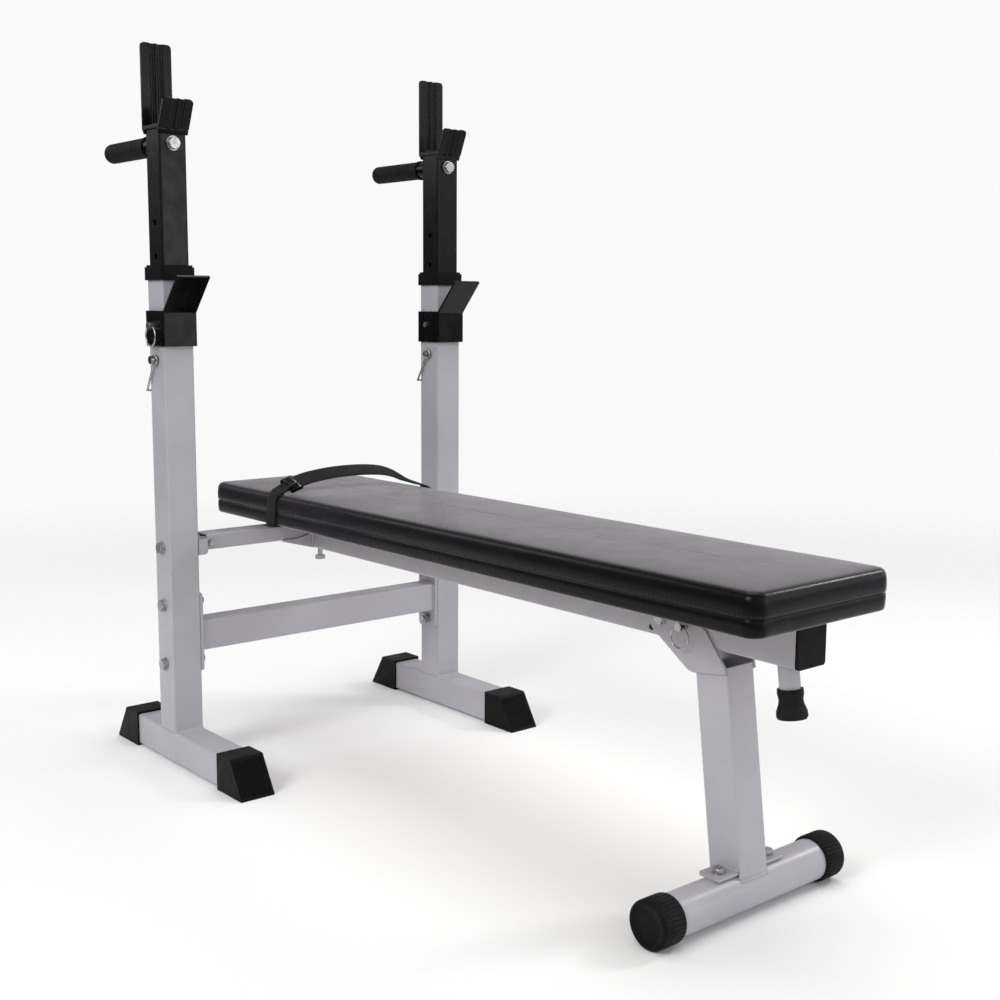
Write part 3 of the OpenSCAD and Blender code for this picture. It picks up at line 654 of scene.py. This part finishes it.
def make_strap():
    """The closed loop of webbing round the pad, and its loose tail past the buckle."""
    loop = smooth_path(strap_route(), 6, True)
    strap = ribbon("foot_strap_webbing", loop, STRAP_WIDTH, STRAP_THICK, closed=True, lean=arch_lean)
    place = buckle_place()
    tail_line = [(0, 6, 2.2), (0, 0, 3.6), (0, -7, 3.4), (0, -13, 1.6), (0.8, -20, -1.6), (1.8, -26, -7),
                 (2.6, -29, -15), (3, -30, -24)]
    tail_path = smooth_path([place @ (Vector(p) * MM) for p in tail_line], 5)
    tail = ribbon("foot_strap_tail", tail_path, STRAP_WIDTH - 2 * MM, 1.4 * MM, taper_end=True)
    return strap, tail


def make_buckle():
    """Cam buckle: two cheeks, two cross bars, a toothed cam lever and its axle, in millimetres."""
    place = buckle_place()
    cheek_t = 1.6
    cheek_x = STRAP_WIDTH / 2 / MM + cheek_t
    wide = 2 * cheek_x
    cam_tilt = -9

    def part(name, size, at, tilt=0.0, bevel=0.5):
        local = Matrix.Translation(Vector(at) * MM) @ Matrix.Rotation(math.radians(tilt), 4, "X")
        return bevelled_box(name, Vector(size) * MM, place @ local, MATERIALS["black_steel"], bevel * MM)

    parts = [part(f"cheek_{side}", (cheek_t, 22, 7), (side * cheek_x, 0, 0.6)) for side in (LEFT, RIGHT)]
    parts += [part("base_bar", (wide, 4, 1.6), (0, 8.5, -2.4)),
              part("rear_bar", (wide, 4, 1.6), (0, -8.5, -2.4)),
              part("cam_plate", (wide - 4, 15, 1.8), (0, -1, 5.2), cam_tilt),
              part("cam_lip", (wide - 4, 1.8, 4), (0, -8.6, 6.2))]
    parts += [part(f"tooth_{k}", (1.2, 9, 0.9), (k * 2.4, 0, 6.3), cam_tilt, 0.3) for k in range(-5, 6)]
    axle_ends = [Vector((side * (cheek_x + cheek_t), 5.5, 4.2)) * MM for side in (LEFT, RIGHT)]
    start, end = (place @ point for point in axle_ends)
    length = (end - start).length
    axle = [(0.4 * MM, 0), (1.3 * MM, 0.4 * MM), (1.3 * MM, length - 0.4 * MM), (0.4 * MM, length)]
    parts.append(lathe("axle", axle, along(start, end - start), MATERIALS["zinc"], 24))
    return join("cam_buckle", parts)


# Moulded pieces

def make_foot_cap(side):
    """Push-on cap of the round foot: fluted rim, small chamfer and a dished end face."""
    node = f"{NAMES[side]}_foot_cap"
    low, high = box_of(node)
    radius = (high.z - low.z) / 2
    depth = high.y - low.y
    inner = radius - 4.3 * MM
    start = Vector(((low.x + high.x) / 2, low.y if side > 0 else high.y, (low.z + high.z) / 2))
    profile = [(inner, 0.4 * MM), (radius - 1.6 * MM, 0), (radius - 0.9 * MM, 0.8 * MM),
               (radius - 0.9 * MM, 2.5 * MM), (radius, 3.2 * MM), (radius, depth - 9 * MM),
               (radius, depth - 3.2 * MM), (radius - 0.8 * MM, depth - 1.4 * MM),
               (radius - 2.4 * MM, depth - 0.3 * MM), (radius - 4 * MM, depth),
               (radius - 6 * MM, depth - 0.3 * MM), (radius - 7 * MM, depth - 1.2 * MM),
               (radius * 0.5, depth - 1.5 * MM), (radius * 0.1, depth - 1.6 * MM)]
    return lathe(f"{node}_moulding", profile, along(start, (0, side, 0)), MATERIALS["black_plastic"], 288,
                 flutes=36, flute_depth=1.1 * MM, fluted=(4, 5, 6))


def make_dip_grip(side):
    """Rubber sleeve with raised rings, a collar at its open end and a domed closed end."""
    node = f"{NAMES[side]}_dip_grip"
    low, high = box_of(node)
    length = high.x - low.x
    collar = (high.z - low.z) / 2
    radius = collar - 1.2 * MM
    start = Vector((high.x, (low.y + high.y) / 2, (low.z + high.z) / 2))
    profile = [(14.2 * MM, 0.3 * MM), (collar - 0.8 * MM, 0), (collar, 0.9 * MM), (collar, 4.5 * MM),
               (collar - 0.7 * MM, 5.6 * MM), (radius - 0.6 * MM, 6.6 * MM)]
    pitch = 6.5 * MM
    ridge = ((0.0, -0.6), (0.12, -0.15), (0.25, 0.0), (0.6, 0.0), (0.73, -0.15), (0.85, -0.6))
    for k in range(int((length - 20 * MM) / pitch)):
        base = 7.5 * MM + k * pitch
        profile += [(radius + sink * MM, base + share * pitch) for share, sink in ridge]
    dome = 6.5 * MM
    for k in range(9):
        angle = math.radians(90 * k / 8)
        dome_radius = max(radius - dome + dome * math.cos(angle), 0.4 * MM)
        profile.append((dome_radius, length - dome + dome * math.sin(angle)))
    profile.append((radius * 0.35, length - 0.05 * MM))
    return lathe(f"{node}_sleeve", profile, along(start, (-1, 0, 0)), MATERIALS["grip_rubber"])


# Welds

# Lower edge of the leg's side ears: (x from the posts, height) in millimetres
EAR_EDGE = [(867, 292), (878, 290.8), (927, 297.4)]
STUB_BEAD_RADIUS = 12.6 * MM


def bead_line(points, spacing=2.2 * MM):
    """Points along a broken line, a bead's ripple apart."""
    out = []
    for a, b in zip(points, points[1:]):
        steps = max(2, round((b - a).length / spacing))
        out += [a.lerp(b, k / steps) for k in range(steps)]
    return out + [points[-1]]


def weld(name, points, body, radius=1.9 * MM):
    bead = bead_along(name, bead_line(points), radius, MATERIALS["frame_paint"])
    finish_piece(bead, body, "frame_paint")


def weld_post(side):
    """Beads at the front and rear of a post, on its floor foot."""
    name = NAMES[side]
    middle = mid(f"{name}_post")
    foot_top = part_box(f"{name}_post")[0][2]
    for end, where in ((-1, "rear"), (1, "front")):
        x = middle.x + end * tube_half
        corners = [Vector((x, middle.y + y * tube_half, foot_top)) for y in (-1, 1)]
        weld(f"weld_{name}_post_{where}", corners, "frame")


def weld_crossbar(side):
    """A bead round the end of the lower crossbar, on its end plate."""
    low, high = box_of("lower_crossbar")
    y = low.y if side < 0 else high.y
    corners = [(high.x, high.z), (low.x, high.z), (low.x, low.z), (high.x, low.z), (high.x, high.z)]
    weld(f"weld_{NAMES[side]}_crossbar", [Vector((x, y, z)) for x, z in corners], "frame")


def weld_beam(side):
    """An upright bead on the side of the beam, at the gusset behind it."""
    low, high = box_of("beam_gusset")
    corners = [Vector((high.x, side * tube_half, z)) for z in (low.z, high.z)]
    weld(f"weld_{NAMES[side]}_beam", corners, "bench")


def weld_ear(side):
    """A thin bead along the lower edge of one of the leg's side ears."""
    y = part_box("front_leg")[0 if side < 0 else 1][1] + side * 1.5 * MM
    edge = [Vector((post_x + x * MM, y, z * MM)) for x, z in EAR_EDGE]
    weld(f"weld_{NAMES[side]}_ear", edge, "leg", 1.7 * MM)


def weld_foot():
    """Beads where the leg stands on the foot plate, and where its front meets the round foot."""
    plate_low, plate_high = box_of("foot_plate")
    for side in (LEFT, RIGHT):
        ends = [Vector((x, side * tube_half, plate_high.z)) for x in (plate_low.x, plate_high.x)]
        weld(f"weld_{NAMES[side]}_foot", ends, "leg")
    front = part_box("front_leg")[1][0]
    tube_low, tube_high = box_of("foot_tube")
    ahead = front - (tube_low.x + tube_high.x) / 2
    radius = (tube_high.z - tube_low.z) / 2
    shoulder = (tube_low.z + tube_high.z) / 2 + math.sqrt(radius ** 2 - ahead ** 2)
    weld("weld_leg_foot", [Vector((front, y * tube_half, shoulder)) for y in (-1, 1)], "leg")


def weld_stub():
    """A thin bead round the leaning stub tube, where it meets the beam's underside."""
    lean_back = 3 * MM
    top = Vector((mid("stub_tube").x - lean_back, 0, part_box("bench_beam")[0][2]))
    angles = (k * math.pi / 12 for k in range(25))
    circle = [top + STUB_BEAD_RADIUS * Vector((math.cos(a), math.sin(a), 0)) for a in angles]
    weld("weld_stub", circle, "bench", 1.6 * MM)


def make_welds():
    for side in (LEFT, RIGHT):
        weld_post(side)
        weld_crossbar(side)
        weld_beam(side)
        weld_ear(side)
    weld_foot()
    weld_stub()


# Stage

def grey(tone):
    return (tone, tone, tone, 1)


def studio_world():
    """Light from a pale ring above the horizon, brightest towards +X +Y. The camera sees plain white."""
    world = bpy.data.worlds.new("studio")
    world.use_nodes = True
    nodes, links = world.node_tree.nodes, world.node_tree.links
    coords = nodes.new("ShaderNodeTexCoord")
    parts = nodes.new("ShaderNodeSeparateXYZ")
    links.new(coords.outputs["Generated"], parts.inputs[0])
    height = nodes.new("ShaderNodeMapRange")
    height.inputs["From Min"].default_value = -1
    links.new(parts.outputs["Z"], height.inputs["Value"])
    ring = nodes.new("ShaderNodeValToRGB")
    tones = ring.color_ramp.elements
    for position, tone in ((0.49, 0.12), (0.53, 0.95), (0.62, 0.95)):
        tones.new(position).color = grey(tone)
    tones[0].color = grey(0.12)
    tones[-1].color = grey(0.4)
    links.new(height.outputs[0], ring.inputs["Fac"])
    facing = nodes.new("ShaderNodeVectorMath")
    facing.operation = "DOT_PRODUCT"
    facing.inputs[1].default_value = (0.77, 0.63, 0)
    links.new(coords.outputs["Generated"], facing.inputs[0])
    strength = nodes.new("ShaderNodeMapRange")
    for socket, value in (("From Min", -0.9), ("From Max", 0.9), ("To Min", 0.22), ("To Max", 1.15)):
        strength.inputs[socket].default_value = value
    links.new(facing.outputs["Value"], strength.inputs["Value"])
    background = nodes["Background"]
    links.new(ring.outputs["Color"], background.inputs["Color"])
    links.new(strength.outputs[0], background.inputs["Strength"])
    seen = nodes.new("ShaderNodeBackground")
    seen.inputs["Color"].default_value = grey(0.95)
    path = nodes.new("ShaderNodeLightPath")
    mix = nodes.new("ShaderNodeMixShader")
    links.new(path.outputs["Is Camera Ray"], mix.inputs["Fac"])
    links.new(background.outputs[0], mix.inputs[1])
    links.new(seen.outputs[0], mix.inputs[2])
    links.new(mix.outputs[0], nodes["World Output"].inputs["Surface"])
    return world


def softbox(name, place, size, power):
    """A round lamp, in metres and watts, that faces the middle of the bench."""
    target = Vector((0, 0, 0.45))
    data = bpy.data.lights.new(name, "AREA")
    data.shape = "DISK"
    data.size = size
    data.energy = power
    lamp = bpy.data.objects.new(name, data)
    turn = (target - Vector(place)).to_track_quat("-Z", "Y").to_matrix().to_4x4()
    lamp.matrix_world = Matrix.Translation(place) @ turn
    lamp.visible_camera = False
    bpy.context.scene.collection.objects.link(lamp)


def make_stage():
    far = 30
    corners = [(-far, -far, 0), (far, -far, 0), (far, far, 0), (-far, far, 0)]
    floor = new_object("floor", corners, [(0, 1, 2, 3)], floor_paint(), smooth=False)
    bpy.context.scene.world = studio_world()
    bpy.context.scene.view_settings.view_transform = "Standard"
    softbox("key", (0.6, -3.8, 2.8), size=2.2, power=100)
    softbox("fill", (-3.4, -2.4, 2.4), size=2.2, power=25)
    softbox("side", (3.6, 1.8, 0.9), size=1.6, power=12)
    softbox("top", (-0.3, 0.5, 4.0), size=3.0, power=55)
    softbox("edge", (1.1, 2.2, 1.9), size=0.5, power=16)


def dress_bench():
    pad = make_pad()
    finish_piece(pad, "bench", "vinyl", "bench_pad")
    finish_piece(make_seam_stitches(), "bench", "vinyl")
    finish_piece(make_staples(), "bench", "zinc")
    strap, tail = make_strap()
    finish_piece(strap, "bench", "webbing", "foot_strap")
    finish_piece(tail, "bench", "webbing")
    finish_piece(make_buckle(), "bench", "black_steel", "strap_buckle")


def dress_sides():
    for side in (LEFT, RIGHT):
        name = NAMES[side]
        finish_piece(make_foot_cap(side), "leg", "black_plastic", f"{name}_foot_cap")
        finish_piece(make_dip_grip(side), f"{name}_rack", "grip_rubber", f"{name}_dip_grip")


make_camera()
make_stage()
paint_cad_nodes()
dress_bench()
dress_sides()
make_welds()
